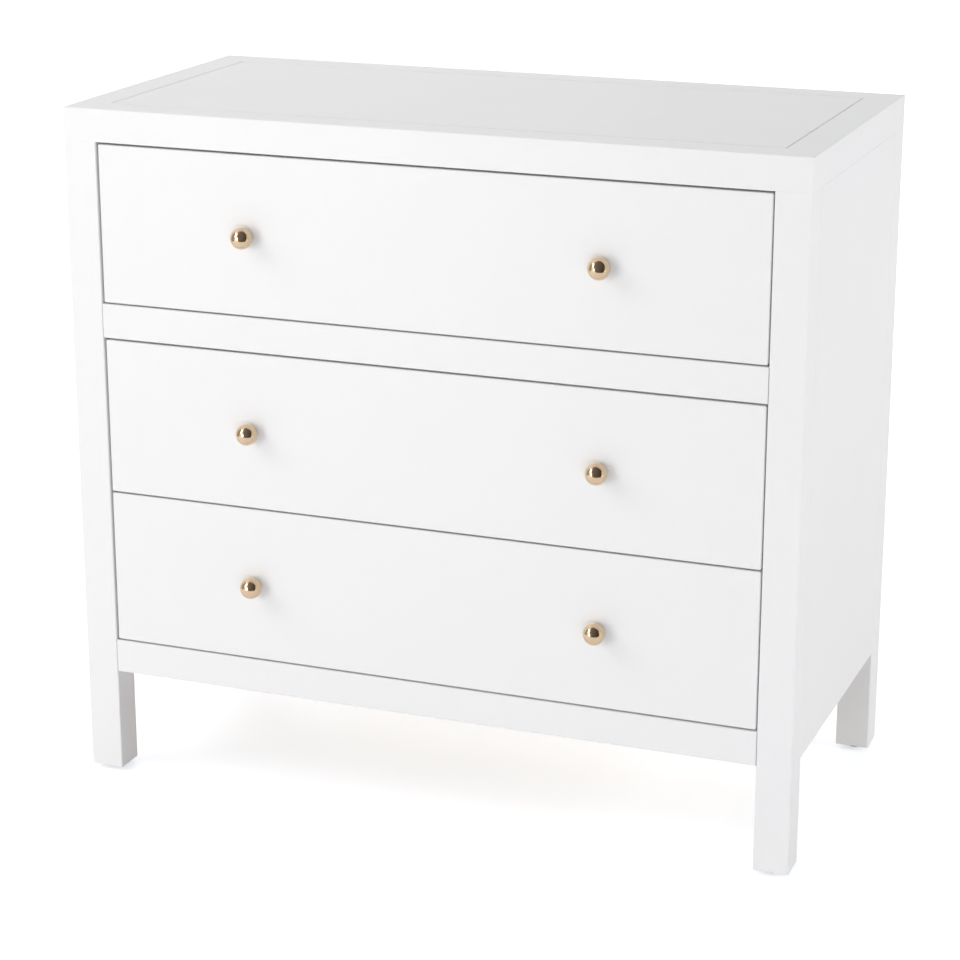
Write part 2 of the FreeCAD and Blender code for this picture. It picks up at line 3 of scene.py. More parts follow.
import bpy
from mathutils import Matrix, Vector


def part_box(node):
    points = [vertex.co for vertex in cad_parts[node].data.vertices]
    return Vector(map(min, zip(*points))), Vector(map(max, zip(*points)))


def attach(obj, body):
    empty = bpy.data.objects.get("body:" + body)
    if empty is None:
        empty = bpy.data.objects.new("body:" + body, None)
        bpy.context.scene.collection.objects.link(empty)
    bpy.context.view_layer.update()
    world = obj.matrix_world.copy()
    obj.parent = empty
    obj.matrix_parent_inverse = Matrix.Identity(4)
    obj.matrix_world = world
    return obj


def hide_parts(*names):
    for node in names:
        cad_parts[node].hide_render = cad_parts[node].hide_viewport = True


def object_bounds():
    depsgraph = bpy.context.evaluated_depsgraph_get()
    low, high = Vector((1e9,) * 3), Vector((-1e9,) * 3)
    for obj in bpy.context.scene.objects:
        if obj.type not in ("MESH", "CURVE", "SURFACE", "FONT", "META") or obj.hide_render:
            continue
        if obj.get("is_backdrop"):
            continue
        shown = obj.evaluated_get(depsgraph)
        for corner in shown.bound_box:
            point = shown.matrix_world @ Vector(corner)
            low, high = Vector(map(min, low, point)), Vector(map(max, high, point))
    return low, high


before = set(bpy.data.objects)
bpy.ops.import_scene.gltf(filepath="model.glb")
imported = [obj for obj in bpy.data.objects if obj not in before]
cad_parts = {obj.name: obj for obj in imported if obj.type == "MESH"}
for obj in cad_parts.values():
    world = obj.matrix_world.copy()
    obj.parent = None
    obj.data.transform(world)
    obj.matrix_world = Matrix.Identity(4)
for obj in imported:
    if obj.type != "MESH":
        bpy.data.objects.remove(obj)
cad_low, cad_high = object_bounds()
MM = 0.001

# ------------------------------------------------------------------ posts, rails and mitred top
# The frame is solid wood, and the flush panels in it are board. All of it is filled, sanded and
# sprayed with a white satin lacquer, which leaves a fine orange peel and softens every edge.

front_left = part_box("post_front_left")[0]
CARCASS_LOW = Vector((front_left.x, front_left.y, 0))
CARCASS_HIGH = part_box("top_rail_back")[1]
CARCASS_MIDDLE = (CARCASS_LOW + CARCASS_HIGH) / 2
CARCASS_SIZE = CARCASS_HIGH - CARCASS_LOW


def add(tree, kind, inputs=None, **properties):
    """Adds a node to a tree. Each input, by name or place, is a value or a socket to link."""
    node = tree.nodes.new(kind)
    for name, value in properties.items():
        setattr(node, name, value)
    for key, value in (inputs or {}).items():
        if isinstance(value, bpy.types.NodeSocket):
            tree.links.new(value, node.inputs[key])
        else:
            node.inputs[key].default_value = value
    return node


def math_of(tree, operation, *values):
    """The result of a Math node on numbers or sockets."""
    return add(tree, "ShaderNodeMath", dict(enumerate(values)), operation=operation).outputs[0]


def new_material(name, colour, roughness, metallic=0.0):
    """A material with plain values on its shader, and its shader and tree to build on."""
    material = bpy.data.materials.new(name)
    material.use_nodes = True
    material.diffuse_color = (*colour, 1)
    shader = material.node_tree.nodes["Principled BSDF"]
    shader.inputs["Base Color"].default_value = (*colour, 1)
    shader.inputs["Roughness"].default_value = roughness
    shader.inputs["Metallic"].default_value = metallic
    return material, material.node_tree, shader


def object_coordinates(tree, stretch=(1, 1, 1), shift=(0, 0, 0)):
    """Object coordinates, in metres, moved and then scaled along each axis."""
    place = add(tree, "ShaderNodeTexCoord").outputs["Object"]
    moved = add(tree, "ShaderNodeVectorMath", {0: place, 1: shift}, operation="ADD")
    factors = {0: moved.outputs[0], 1: stretch}
    return add(tree, "ShaderNodeVectorMath", factors, operation="MULTIPLY").outputs[0]


def noise(tree, where, scale, detail=2.0, roughness=0.5):
    """A noise value from 0 to 1, `scale` cells to the metre."""
    inputs = {"Vector": where, "Scale": scale, "Detail": detail, "Roughness": roughness}
    return add(tree, "ShaderNodeTexNoise", inputs).outputs["Fac"]


def spread(tree, value, low, high, from_low=0.25, from_high=0.75):
    """A value mapped from one range to another and kept inside it."""
    inputs = {"Value": value, 1: from_low, 2: from_high, 3: low, 4: high}
    return add(tree, "ShaderNodeMapRange", inputs).outputs["Result"]


def blend(tree, factor, first, second):
    """A mix of two colours, each a colour or a socket."""
    first, second = ((*c, 1) if isinstance(c, tuple) else c for c in (first, second))
    inputs = {0: factor, 6: first, 7: second}
    return add(tree, "ShaderNodeMix", inputs, data_type="RGBA").outputs[2]


def bump(tree, height, distance, strength=1.0, under=None):
    """A bump of a height map over another bump, `distance` in metres."""
    inputs = {"Height": height, "Distance": distance, "Strength": strength}
    if under:
        inputs["Normal"] = under
    return add(tree, "ShaderNodeBump", inputs).outputs["Normal"]


def feed(tree, shader, **sockets):
    """Links sockets to the shader's inputs, whose names are spelled with underscores."""
    for name, socket in sockets.items():
        tree.links.new(socket, shader.inputs[name.replace("_", " ")])


def paint_on(material, *nodes):
    """Puts a material on CAD nodes."""
    for name in nodes:
        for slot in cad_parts[name].material_slots:
            slot.material = material


def mitre_line(tree):
    """Faintly marks the hairline where two rails of the top meet."""
    darkness, half_width = 0.16, 0.35 * MM
    place = add(tree, "ShaderNodeTexCoord").outputs["Object"]
    centred = add(tree, "ShaderNodeVectorMath", {0: place, 1: -CARCASS_MIDDLE}, operation="ADD")
    folded = add(tree, "ShaderNodeVectorMath", {0: centred.outputs[0]}, operation="ABSOLUTE")
    across = add(tree, "ShaderNodeSeparateXYZ", {0: folded.outputs[0]}).outputs
    from_side = math_of(tree, "SUBTRACT", CARCASS_SIZE.x / 2, across["X"])
    from_end = math_of(tree, "SUBTRACT", CARCASS_SIZE.y / 2, across["Y"])
    apart = math_of(tree, "ABSOLUTE", math_of(tree, "SUBTRACT", from_side, from_end))
    return spread(tree, apart, darkness, 0.0, 0.0, half_width)


def shoulder_seam_shade(tree):
    """Paints the shade of the fine open seam where a rail's shoulders meet the posts, as a dark
    line.
    """
    darkness, dark_to, clear_from = 0.6, 0.2 * MM, 0.9 * MM
    place = add(tree, "ShaderNodeTexCoord").outputs["Object"]
    across = add(tree, "ShaderNodeSeparateXYZ", {0: place}).outputs["X"]
    inner_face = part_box("post_front_right")[0].x
    from_post = math_of(tree, "SUBTRACT", inner_face, math_of(tree, "ABSOLUTE", across))
    return spread(tree, from_post, darkness, 0.0, dark_to, clear_from)


def white_lacquer(name, seam=None):
    """White satin lacquer in two near whites, with a fine orange peel and soft ripples.

    `seam` marks the piece's joint lines, which are sunk a little and darkened towards
    seam_shadow; at open seams this darkening is painted shade.
    """
    warm_white = (0.880, 0.877, 0.870)
    cool_white = (0.868, 0.873, 0.880)
    seam_shadow = (0.22, 0.215, 0.21)
    material, tree, shader = new_material(name, warm_white, 0.36)
    where = object_coordinates(tree)
    colour = blend(tree, noise(tree, where, 3.5, 3.0), warm_white, cool_white)
    peel = noise(tree, where, 520, 1.5)
    ripple = noise(tree, where, 28, 2.0)
    surface = bump(tree, ripple, 0.25 * MM, 0.10)
    surface = bump(tree, peel, 0.05 * MM, 0.12, surface)
    if seam:
        line = seam(tree)
        surface = bump(tree, line, -0.3 * MM, 0.6, surface)
        # painted shade: the joint lines are darkened towards seam_shadow
        colour = blend(tree, line, colour, seam_shadow)
    sheen = spread(tree, noise(tree, where, 9, 4.0), 0.32, 0.40)
    feed(tree, shader, Base_Color=colour, Roughness=sheen, Normal=surface)
    return material


posts = [f"post_{end}_{side}" for end in ("front", "back") for side in ("left", "right")]
paint_on(white_lacquer("post_lacquer"), *posts)

# the rails' lacquer paints shade into the open seams at the posts
rail_lacquer = white_lacquer("rail_lacquer", shoulder_seam_shade)
paint_on(rail_lacquer, "mid_rail", "bottom_rail_front", "bottom_rail_back")

mitred_lacquer = white_lacquer("mitred_lacquer", mitre_line)
paint_on(mitred_lacquer, *(f"top_rail_{place}" for place in ("front", "back", "left", "right")))

panel_lacquer = white_lacquer("panel_lacquer")
paint_on(panel_lacquer, "top_panel", "side_panel_left", "side_panel_right")

# ------------------------------------------------------------------ back panel and its screws
# A thin hardboard sheet lies in a rebate of the back posts. It has a flat white coat over a
# fibrous face, and pan-head screws hold its edges to the posts and to the back rail.

BACK_SCREW_HEAD = 7.0 * MM
BACK_SCREW_HEIGHT = 1.8 * MM
BACK_SCREW_EDGE = 5.0 * MM  # panel's edge to the screws' centres
BACK_SCREW_ROWS = 6
BACK_SCREW_COLUMNS = 7


def painted_hardboard():
    """A thin flat white coat, with the board's fibres and faint clouds showing through."""
    flat_white = (0.87, 0.86, 0.84)
    fibre_shade = (0.82, 0.81, 0.78)
    material, tree, shader = new_material("painted_hardboard", flat_white, 0.62)
    where = object_coordinates(tree)
    fibres = noise(tree, object_coordinates(tree, (1, 1, 0.35)), 900, 4.0, 0.7)
    clouds = noise(tree, where, 5, 4.0)
    tone = math_of(tree, "MULTIPLY", spread(tree, fibres, 0.0, 1.0), clouds)
    surface = bump(tree, fibres, 0.12 * MM, 0.5)
    dullness = spread(tree, clouds, 0.55, 0.68)
    colour = blend(tree, tone, flat_white, fibre_shade)
    feed(tree, shader, Base_Color=colour, Roughness=dullness, Normal=surface)
    return material


def zinc_plate(name, tint, roughness, streak):
    """Zinc plate, with faint rolling marks along `streak` and cloudy passivation."""
    material, tree, shader = new_material(name, tint, roughness, metallic=1.0)
    where = object_coordinates(tree)
    rolled = noise(tree, object_coordinates(tree, streak), 60, 3.0, 0.6)
    clouds = noise(tree, where, 45, 4.0, 0.6)
    cool = tuple(0.88 * c for c in tint)
    colour = blend(tree, clouds, tint, cool)
    polish = spread(tree, rolled, roughness - 0.06, roughness + 0.10)
    surface = bump(tree, rolled, 0.02 * MM, 0.35)
    feed(tree, shader, Base_Color=colour, Roughness=polish, Normal=surface)
    return material


def geometry_tree(name, sizes):
    """A geometry tree with these named number inputs and a material input called Finish."""
    tree = bpy.data.node_groups.new(name, "GeometryNodeTree")
    tree.is_modifier = True
    interface = tree.interface
    interface.new_socket("Geometry", in_out="INPUT", socket_type="NodeSocketGeometry")
    for label, value in sizes.items():
        kind = "NodeSocketInt" if isinstance(value, int) else "NodeSocketFloat"
        interface.new_socket(label, in_out="INPUT", socket_type=kind).default_value = value
    interface.new_socket("Finish", in_out="INPUT", socket_type="NodeSocketMaterial")
    interface.new_socket("Geometry", in_out="OUTPUT", socket_type="NodeSocketGeometry")
    return tree, add(tree, "NodeGroupInput").outputs


def end_tree(tree, instances, finish):
    """Makes the instances real, gives them their finish, and ends the tree."""
    real = add(tree, "GeometryNodeRealizeInstances", {0: instances}).outputs[0]
    shaded = add(tree, "GeometryNodeSetMaterial", {"Geometry": real, "Material": finish})
    add(tree, "NodeGroupOutput", {0: shaded.outputs[0]})


def combined(tree, x=0.0, y=0.0, z=0.0):
    """A vector of three numbers or sockets."""
    return add(tree, "ShaderNodeCombineXYZ", {0: x, 1: y, 2: z}).outputs[0]


def boolean(tree, operation, *meshes):
    """The union of the meshes, or the first without the others."""
    solid = add(tree, "GeometryNodeMeshBoolean", operation=operation, solver="EXACT")
    first = "Mesh 1" if operation == "DIFFERENCE" else "Mesh 2"
    for socket, mesh in zip((first, *("Mesh 2" for _ in meshes[1:])), meshes):
        tree.links.new(mesh, solid.inputs[socket])
    return solid.outputs["Mesh"]


def facing(tree):
    """The turn that points an instance's Z axis along its point's own `facing`."""
    kind = "GeometryNodeInputNamedAttribute"
    way = add(tree, kind, {"Name": "facing"}, data_type="FLOAT_VECTOR").outputs[0]
    return add(tree, "FunctionNodeAlignRotationToVector", {"Vector": way}, axis="Z").outputs[0]


def screw_tree():
    """Pan heads with a crossed recess, seated on the points, each turned to its own angle."""
    tree, size = geometry_tree(
        "pan_head_screws", {"Head Diameter": 8.0 * MM, "Head Height": 2.0 * MM, "Seed": 7}
    )
    radius = math_of(tree, "DIVIDE", size["Head Diameter"], 2.0)
    half_height = math_of(tree, "DIVIDE", size["Head Height"], 2.0)
    disc = {"Vertices": 24, "Radius": radius, "Depth": half_height}
    rim = add(tree, "GeometryNodeMeshCylinder", disc)
    crown = add(
        tree,
        "GeometryNodeExtrudeMesh",
        {
            "Mesh": rim.outputs["Mesh"],
            "Selection": rim.outputs["Top"],
            "Offset Scale": half_height,
        },
    )
    domed = add(
        tree,
        "GeometryNodeScaleElements",
        {"Geometry": crown.outputs["Mesh"], "Selection": crown.outputs["Top"], "Scale": 0.68},
    )
    seated = add(
        tree,
        "GeometryNodeTransform",
        {
            "Geometry": domed.outputs[0],
            "Translation": combined(tree, z=math_of(tree, "DIVIDE", half_height, 2.0)),
        },
    )
    long_arm = math_of(tree, "MULTIPLY", size["Head Diameter"], 0.56)
    short_arm = math_of(tree, "MULTIPLY", size["Head Diameter"], 0.13)
    arms = [
        add(tree, "GeometryNodeMeshCube", {"Size": combined(tree, *sides, size["Head Height"])})
        for sides in ((long_arm, short_arm), (short_arm, long_arm))
    ]
    cross = boolean(tree, "UNION", *(arm.outputs["Mesh"] for arm in arms))
    raised = add(
        tree,
        "GeometryNodeTransform",
        {"Geometry": cross, "Translation": combined(tree, z=size["Head Height"])},
    )
    head = boolean(tree, "DIFFERENCE", seated.outputs[0], raised.outputs[0])
    spin = add(
        tree,
        "FunctionNodeRandomValue",
        {2: 0.0, 3: math.pi / 2, "Seed": size["Seed"]},
        data_type="FLOAT",
    )
    turned = add(
        tree,
        "FunctionNodeRotateRotation",
        {"Rotation": facing(tree), "Rotate By": combined(tree, z=spin.outputs[1])},
        rotation_space="LOCAL",
    )
    heads = add(
        tree,
        "GeometryNodeInstanceOnPoints",
        {"Points": size["Geometry"], "Instance": head, "Rotation": turned.outputs[0]},
    )
    end_tree(tree, heads.outputs[0], size["Finish"])
    return tree


def grow(name, body, tree, places, finish, slot, **sizes):
    """Runs a geometry tree on points, each a (place, facing), and rides the mesh on a body.

    `sizes` are the tree's named numbers, spelled with underscores.
    """
    points = bpy.data.meshes.new(name + "_points")
    points.from_pydata([place for place, _ in places], [], [])
    ways = points.attributes.new("facing", "FLOAT_VECTOR", "POINT")
    for item, (_, way) in zip(ways.data, places):
        item.vector = way
    carrier = bpy.data.objects.new(name + "_points", points)
    bpy.context.scene.collection.objects.link(carrier)
    modifier = carrier.modifiers.new("tree", "NODES")
    modifier.node_group = tree
    sockets = {s.name: s.identifier for s in tree.interface.items_tree if s.in_out == "INPUT"}
    modifier[sockets["Finish"]] = finish
    for label, value in sizes.items():
        modifier[sockets[label.replace("_", " ").title()]] = value
    grown = carrier.evaluated_get(bpy.context.evaluated_depsgraph_get())
    mesh = bpy.data.meshes.new_from_object(grown)
    carrier.modifiers.remove(modifier)
    bpy.data.objects.remove(carrier)
    piece = bpy.data.objects.new(name, mesh)
    bpy.context.scene.collection.objects.link(piece)
    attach(piece, body)
    return piece


def between(first, last, count):
    """Evenly spaced numbers from first to last."""
    return [first + (last - first) * i / (count - 1) for i in range(count)]


def back_screw_places():
    """Screws up both edges of the back panel and along the rail below, looking backwards."""
    low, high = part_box("back_panel")
    rail_low, rail_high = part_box("bottom_rail_back")
    backward = Vector((0, 1, 0))
    left, right = low.x + BACK_SCREW_EDGE, high.x - BACK_SCREW_EDGE
    bottom = (rail_low.z + rail_high.z) / 2
    top = high.z - 2 * BACK_SCREW_EDGE
    columns = [(x, z) for x in (left, right) for z in between(bottom, top, BACK_SCREW_ROWS)]
    row = [(x, bottom) for x in between(left, right, BACK_SCREW_COLUMNS)[1:-1]]
    return [(Vector((x, high.y, z)), backward) for x, z in columns + row]


paint_on(painted_hardboard(), "back_panel")
pan_head_screws = screw_tree()
screw_zinc = zinc_plate("screw_zinc", (0.66, 0.66, 0.65), 0.30, (1, 1, 1))
grow(
    "back_panel_screws",
    "carcass",
    pan_head_screws,
    back_screw_places(),
    screw_zinc,
    "zinc_plated_steel",
    head_diameter=BACK_SCREW_HEAD,
    head_height=BACK_SCREW_HEIGHT,
)

# ------------------------------------------------------------------ battens and foot glides
# Planed softwood battens inside the side panels carry the slides. Each leg stands on a turned
# black nylon glide.


def wood(name, pale, dark, grain, ring=5.0 * MM, roughness=0.5, contrast=0.5):
    """Bare or clear-finished wood whose grain runs along one axis: 0 for X, 1 for Y.

    Growth rings about a pith beside the boards are drawn out along the grain, with fine pores
    among them. Faces across the grain show darker end grain, with the rings as arcs.
    """
    material, tree, shader = new_material(name, pale, roughness)
    letter = "XYZ"[grain]

    def drawn_out(share, shift=(0, 0, 0)):
        """Object coordinates scaled by `share` along the grain, which draws a pattern out."""
        stretch = tuple(share if axis == grain else 1.0 for axis in range(3))
        return object_coordinates(tree, stretch, shift)

    pith = tuple(0.0 if axis == grain else 0.06 for axis in range(3))
    sway = math_of(tree, "MULTIPLY", noise(tree, drawn_out(0.07), 11, 2.0), 0.05)
    board = {0: drawn_out(0.35, pith), 1: combined(tree, sway, sway, sway)}
    swayed = add(tree, "ShaderNodeVectorMath", board, operation="ADD")
    rings = add(
        tree,
        "ShaderNodeTexWave",
        {
            "Vector": swayed.outputs[0],
            "Scale": math.pi / 10 / ring,  # at scale 1 the node's rings are pi / 10 apart
            "Distortion": 2.5,
            "Detail": 2.0,
            "Detail Scale": 0.4,
        },
        wave_type="RINGS",
        rings_direction=letter,
        wave_profile="SAW",
    ).outputs["Fac"]
    pores = noise(tree, drawn_out(0.02), 1400, 3.0, 0.7)
    figure = noise(tree, drawn_out(0.07), 40, 4.0)
    streaks = spread(tree, pores, 0.0, 1.0, 0.42, 0.70)
    late_wood = math_of(tree, "MULTIPLY", rings, contrast)
    tone = math_of(tree, "ADD", late_wood, math_of(tree, "MULTIPLY", figure, 0.35))
    tone = math_of(tree, "ADD", tone, math_of(tree, "MULTIPLY", streaks, 0.25))
    colour = blend(tree, math_of(tree, "SUBTRACT", tone, 0.15), pale, dark)

    normal = add(tree, "ShaderNodeNewGeometry").outputs["True Normal"]
    facing_grain = add(tree, "ShaderNodeSeparateXYZ", {0: normal}).outputs[letter]
    end = spread(tree, math_of(tree, "ABSOLUTE", facing_grain), 0.0, 1.0, 0.85, 0.95)
    specks = noise(tree, object_coordinates(tree), 1100, 2.0, 0.8)
    end_tone = math_of(tree, "ADD", math_of(tree, "MULTIPLY", rings, 0.55), specks)
    end_pale = tuple(0.78 * c for c in pale)
    end_colour = blend(tree, math_of(tree, "SUBTRACT", end_tone, 0.25), end_pale, dark)
    colour = blend(tree, end, colour, end_colour)
    surface = bump(tree, rings, 0.08 * MM, 0.25)
    surface = bump(tree, pores, 0.06 * MM, 0.5, surface)
    sheen = spread(tree, pores, roughness - 0.05, roughness + 0.08)
    feed(tree, shader, Base_Color=colour, Roughness=sheen, Normal=surface)
    return material


paint_on(
    wood("batten_softwood", (0.68, 0.50, 0.29), (0.46, 0.28, 0.13), 1, 6.5 * MM, 0.62, 0.7),
    "runner_battens",
)


def black_nylon():
    """Moulded black nylon with a fine grain and paler scuffs."""
    black = (0.016, 0.016, 0.017)
    scuffed = (0.07, 0.07, 0.072)
    material, tree, shader = new_material("black_nylon", black, 0.45)
    where = object_coordinates(tree)
    grain = noise(tree, where, 1600, 2.0)
    scuffs = noise(tree, object_coordinates(tree, (1, 1, 3)), 140, 4.0, 0.7)
    colour = blend(tree, spread(tree, scuffs, 0.0, 0.4, 0.5, 0.8), black, scuffed)
    dullness = spread(tree, scuffs, 0.38, 0.6)
    surface = bump(tree, grain, 0.08 * MM, 0.4)
    feed(tree, shader, Base_Color=colour, Roughness=dullness, Normal=surface)
    return material


paint_on(black_nylon(), "foot_glides")

# ------------------------------------------------------------------ drawer boxes
# Each box is four dovetailed boards of a pale hardwood under a clear coat, round a bottom of
# birch plywood. The sides' grain runs front to back, and the ends' from side to side.

DRAWERS = (1, 2, 3)
BOX_PALE = (0.71, 0.54, 0.34)
BOX_DARK = (0.50, 0.33, 0.17)

side_wood = wood("box_side_wood", BOX_PALE, BOX_DARK, 1, 4.5 * MM, 0.42, 0.42)
end_wood = wood("box_end_wood", BOX_PALE, BOX_DARK, 0, 4.5 * MM, 0.42, 0.42)
plywood = wood("birch_plywood", (0.76, 0.62, 0.43), (0.60, 0.44, 0.26), 0, 11 * MM, 0.44, 0.3)
for number in DRAWERS:
    paint_on(side_wood, f"drawer_{number}_side_left", f"drawer_{number}_side_right")
    paint_on(end_wood, f"drawer_{number}_box_front", f"drawer_{number}_box_back")
    paint_on(plywood, f"drawer_{number}_bottom")

# ------------------------------------------------------------------ drawer fronts and screws
# The lacquered front is screwed on from inside the box with four pan-head screws, and the bolts
# of the two knobs come through both boards, with a plain washer under each head.

FRONT_SCREW_INSET = 70 * MM  # box's outer side to the outer screws
FRONT_SCREW_LIFT = 32 * MM  # box's lower and upper edge to the screws
FRONT_SCREW_HEAD = 8.5 * MM
WASHER_THICKNESS = 0.9 * MM
BOLT_HEAD = 8.0 * MM
BOLT_HEIGHT = 2.4 * MM

paint_on(white_lacquer("front_lacquer"), *(f"drawer_{number}_front" for number in DRAWERS))


def washer_tree():
    """Plain washers seated on the points, each a disc with a bore."""
    sizes = {"Washer Diameter": 12.0 * MM, "Bore": 4.5 * MM, "Thickness": WASHER_THICKNESS}
    tree, size = geometry_tree("washers", sizes)
    disc, bore = (
        add(
            tree,
            "GeometryNodeMeshCylinder",
            {
                "Vertices": 32,
                "Radius": math_of(tree, "DIVIDE", size[label], 2.0),
                "Depth": math_of(tree, "MULTIPLY", size["Thickness"], tall),
            },
        ).outputs["Mesh"]
        for label, tall in (("Washer Diameter", 1.0), ("Bore", 3.0))
    )
    ring = boolean(tree, "DIFFERENCE", disc, bore)
    lift = combined(tree, z=math_of(tree, "DIVIDE", size["Thickness"], 2.0))
    seated = add(tree, "GeometryNodeTransform", {"Geometry": ring, "Translation": lift})
    washers = add(
        tree,
        "GeometryNodeInstanceOnPoints",
        {"Points": size["Geometry"], "Instance": seated.outputs[0], "Rotation": facing(tree)},
    )
    end_tree(tree, washers.outputs[0], size["Finish"])
    return tree


def knob_centres(number):
    """The two knobs' centres, across and up."""
    low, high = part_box(f"drawer_{number}_knobs")
    radius = (high.z - low.z) / 2
    return [(x, low.z + radius) for x in (low.x + radius, high.x - radius)]


washers = washer_tree()
inward = Vector((0, 1, 0))
for number in DRAWERS:
    low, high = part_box(f"drawer_{number}_box_front")
    bolt_places = [Vector((x, high.y, z)) for x, z in knob_centres(number)]
    screw_places = [
        Vector((x, high.y, z))
        for x in (low.x + FRONT_SCREW_INSET, high.x - FRONT_SCREW_INSET)
        for z in (low.z + FRONT_SCREW_LIFT, high.z - FRONT_SCREW_LIFT)
    ]
    body = f"drawer_{number}"
    grow(
        f"drawer_{number}_front_screws",
        body,
        pan_head_screws,
        [(place, inward) for place in screw_places],
        screw_zinc,
        "zinc_plated_steel",
        head_diameter=FRONT_SCREW_HEAD,
        seed=number,
    )
    grow(
        f"drawer_{number}_knob_washers",
        body,
        washers,
        [(place, inward) for place in bolt_places],
        screw_zinc,
        "zinc_plated_steel",
    )
    grow(
        f"drawer_{number}_knob_bolts",
        body,
        pan_head_screws,
        [(place + WASHER_THICKNESS * inward, inward) for place in bolt_places],
        screw_zinc,
        "zinc_plated_steel",
        head_diameter=BOLT_HEAD,
        head_height=BOLT_HEIGHT,
        seed=10 + number,
    )

# ------------------------------------------------------------------ ball knobs
# Each knob is a turned ball of light brass on a short neck, polished bright and lacquered. The
# bolt pulls the neck hard against the drawer front.


def polished_brass():
    """Light brass in two tones, with fine turning marks and hairlines under a clear lacquer."""
    brass = (0.72, 0.56, 0.37)
    rosy = (0.72, 0.525, 0.36)
    material, tree, shader = new_material("polished_brass", brass, 0.09, metallic=1.0)
    where = object_coordinates(tree)
    clouds = noise(tree, where, 60, 3.0)
    turning = noise(tree, object_coordinates(tree, (0.15, 1, 0.15)), 2500, 2.0)
    hairlines = noise(tree, object_coordinates(tree, (1, 0.1, 1.6)), 1800, 3.0, 0.8)
    polish = spread(tree, hairlines, 0.06, 0.14)
    surface = bump(tree, turning, 0.01 * MM, 0.10)
    colour = blend(tree, clouds, brass, rosy)
    feed(tree, shader, Base_Color=colour, Roughness=polish, Normal=surface)
    return material


def knob_tree():
    """Balls on short necks that stand on the points, each turned from one piece."""
    tree, size = geometry_tree(
        "ball_knobs",
        {"Ball Diameter": 23.5 * MM, "Neck Diameter": 12.5 * MM, "Stand Off": 12.5 * MM},
    )
    ball = add(
        tree,
        "GeometryNodeMeshUVSphere",
        {
            "Segments": 64,
            "Rings": 40,
            "Radius": math_of(tree, "DIVIDE", size["Ball Diameter"], 2.0),
        },
    )
    ball_up = add(
        tree,
        "GeometryNodeTransform",
        {"Geometry": ball.outputs["Mesh"], "Translation": combined(tree, z=size["Stand Off"])},
    )
    neck = add(
        tree,
        "GeometryNodeMeshCylinder",
        {
            "Vertices": 64,
            "Radius": math_of(tree, "DIVIDE", size["Neck Diameter"], 2.0),
            "Depth": size["Stand Off"],
        },
    )
    neck_up = add(
        tree,
        "GeometryNodeTransform",
        {
            "Geometry": neck.outputs["Mesh"],
            "Translation": combined(tree, z=math_of(tree, "DIVIDE", size["Stand Off"], 2.0)),
        },
    )
    turned = boolean(tree, "UNION", ball_up.outputs[0], neck_up.outputs[0])
    edge_angle = add(tree, "GeometryNodeInputMeshEdgeAngle").outputs["Unsigned Angle"]
    limit = {0: edge_angle, 1: math.radians(30)}
    soft = add(tree, "FunctionNodeCompare", limit, operation="LESS_THAN")
    smooth = add(
        tree,
        "GeometryNodeSetShadeSmooth",
        {"Geometry": turned, "Shade Smooth": soft.outputs[0]},
        domain="EDGE",
    )
    knobs = add(
        tree,
        "GeometryNodeInstanceOnPoints",
        {"Points": size["Geometry"], "Instance": smooth.outputs[0], "Rotation": facing(tree)},
    )
    end_tree(tree, knobs.outputs[0], size["Finish"])
    return tree


brass = polished_brass()
ball_knobs = knob_tree()
outward = Vector((0, -1, 0))
for number in DRAWERS:
    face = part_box(f"drawer_{number}_front")[0].y
    places = [(Vector((x, face, z)), outward) for x, z in knob_centres(number)]
    name = f"drawer_{number}_ball_knobs"
    knobs = grow(name, f"drawer_{number}", ball_knobs, places, brass, "polished_brass")
    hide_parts(f"drawer_{number}_knobs")

# ------------------------------------------------------------------ slides, cages and balls
# Every member is rolled from zinc-plated steel strip. The balls run in thin steel cages, which
# space them along the races.

CAGE_WIDTH = 4.0 * MM
CAGE_BALL = 2.7 * MM  # the balls' diameter
SLIDE_STEEL = 1.2 * MM  # the strip's thickness
SLIDE_SCREWS = 3
SLIDE_SCREW_INSET = 36 * MM  # a member's ends to its end screws
SLIDE_SCREW_HEAD = 7.2 * MM
BOX_SCREW_HEIGHT = 1.9 * MM
RUNNER_SCREW_HEIGHT = 0.5 * MM  # nearly flush, as the middle member runs past them

slide_zinc = zinc_plate("slide_zinc", (0.62, 0.63, 0.65), 0.27, (1, 0.02, 1))
for number in DRAWERS:
    paint_on(slide_zinc, *(f"drawer_{number}_slide_{m}" for m in ("outer", "middle", "inner")))


def cage_steel():
    """Bright steel under a thin uneven film of oil."""
    bright = (0.50, 0.50, 0.51)
    oiled = (0.42, 0.40, 0.37)
    material, tree, shader = new_material("cage_steel", bright, 0.22, metallic=1.0)
    film = noise(tree, object_coordinates(tree), 90, 4.0)
    colour = blend(tree, film, bright, oiled)
    feed(tree, shader, Base_Color=colour, Roughness=spread(tree, film, 0.16, 0.32))
    return material


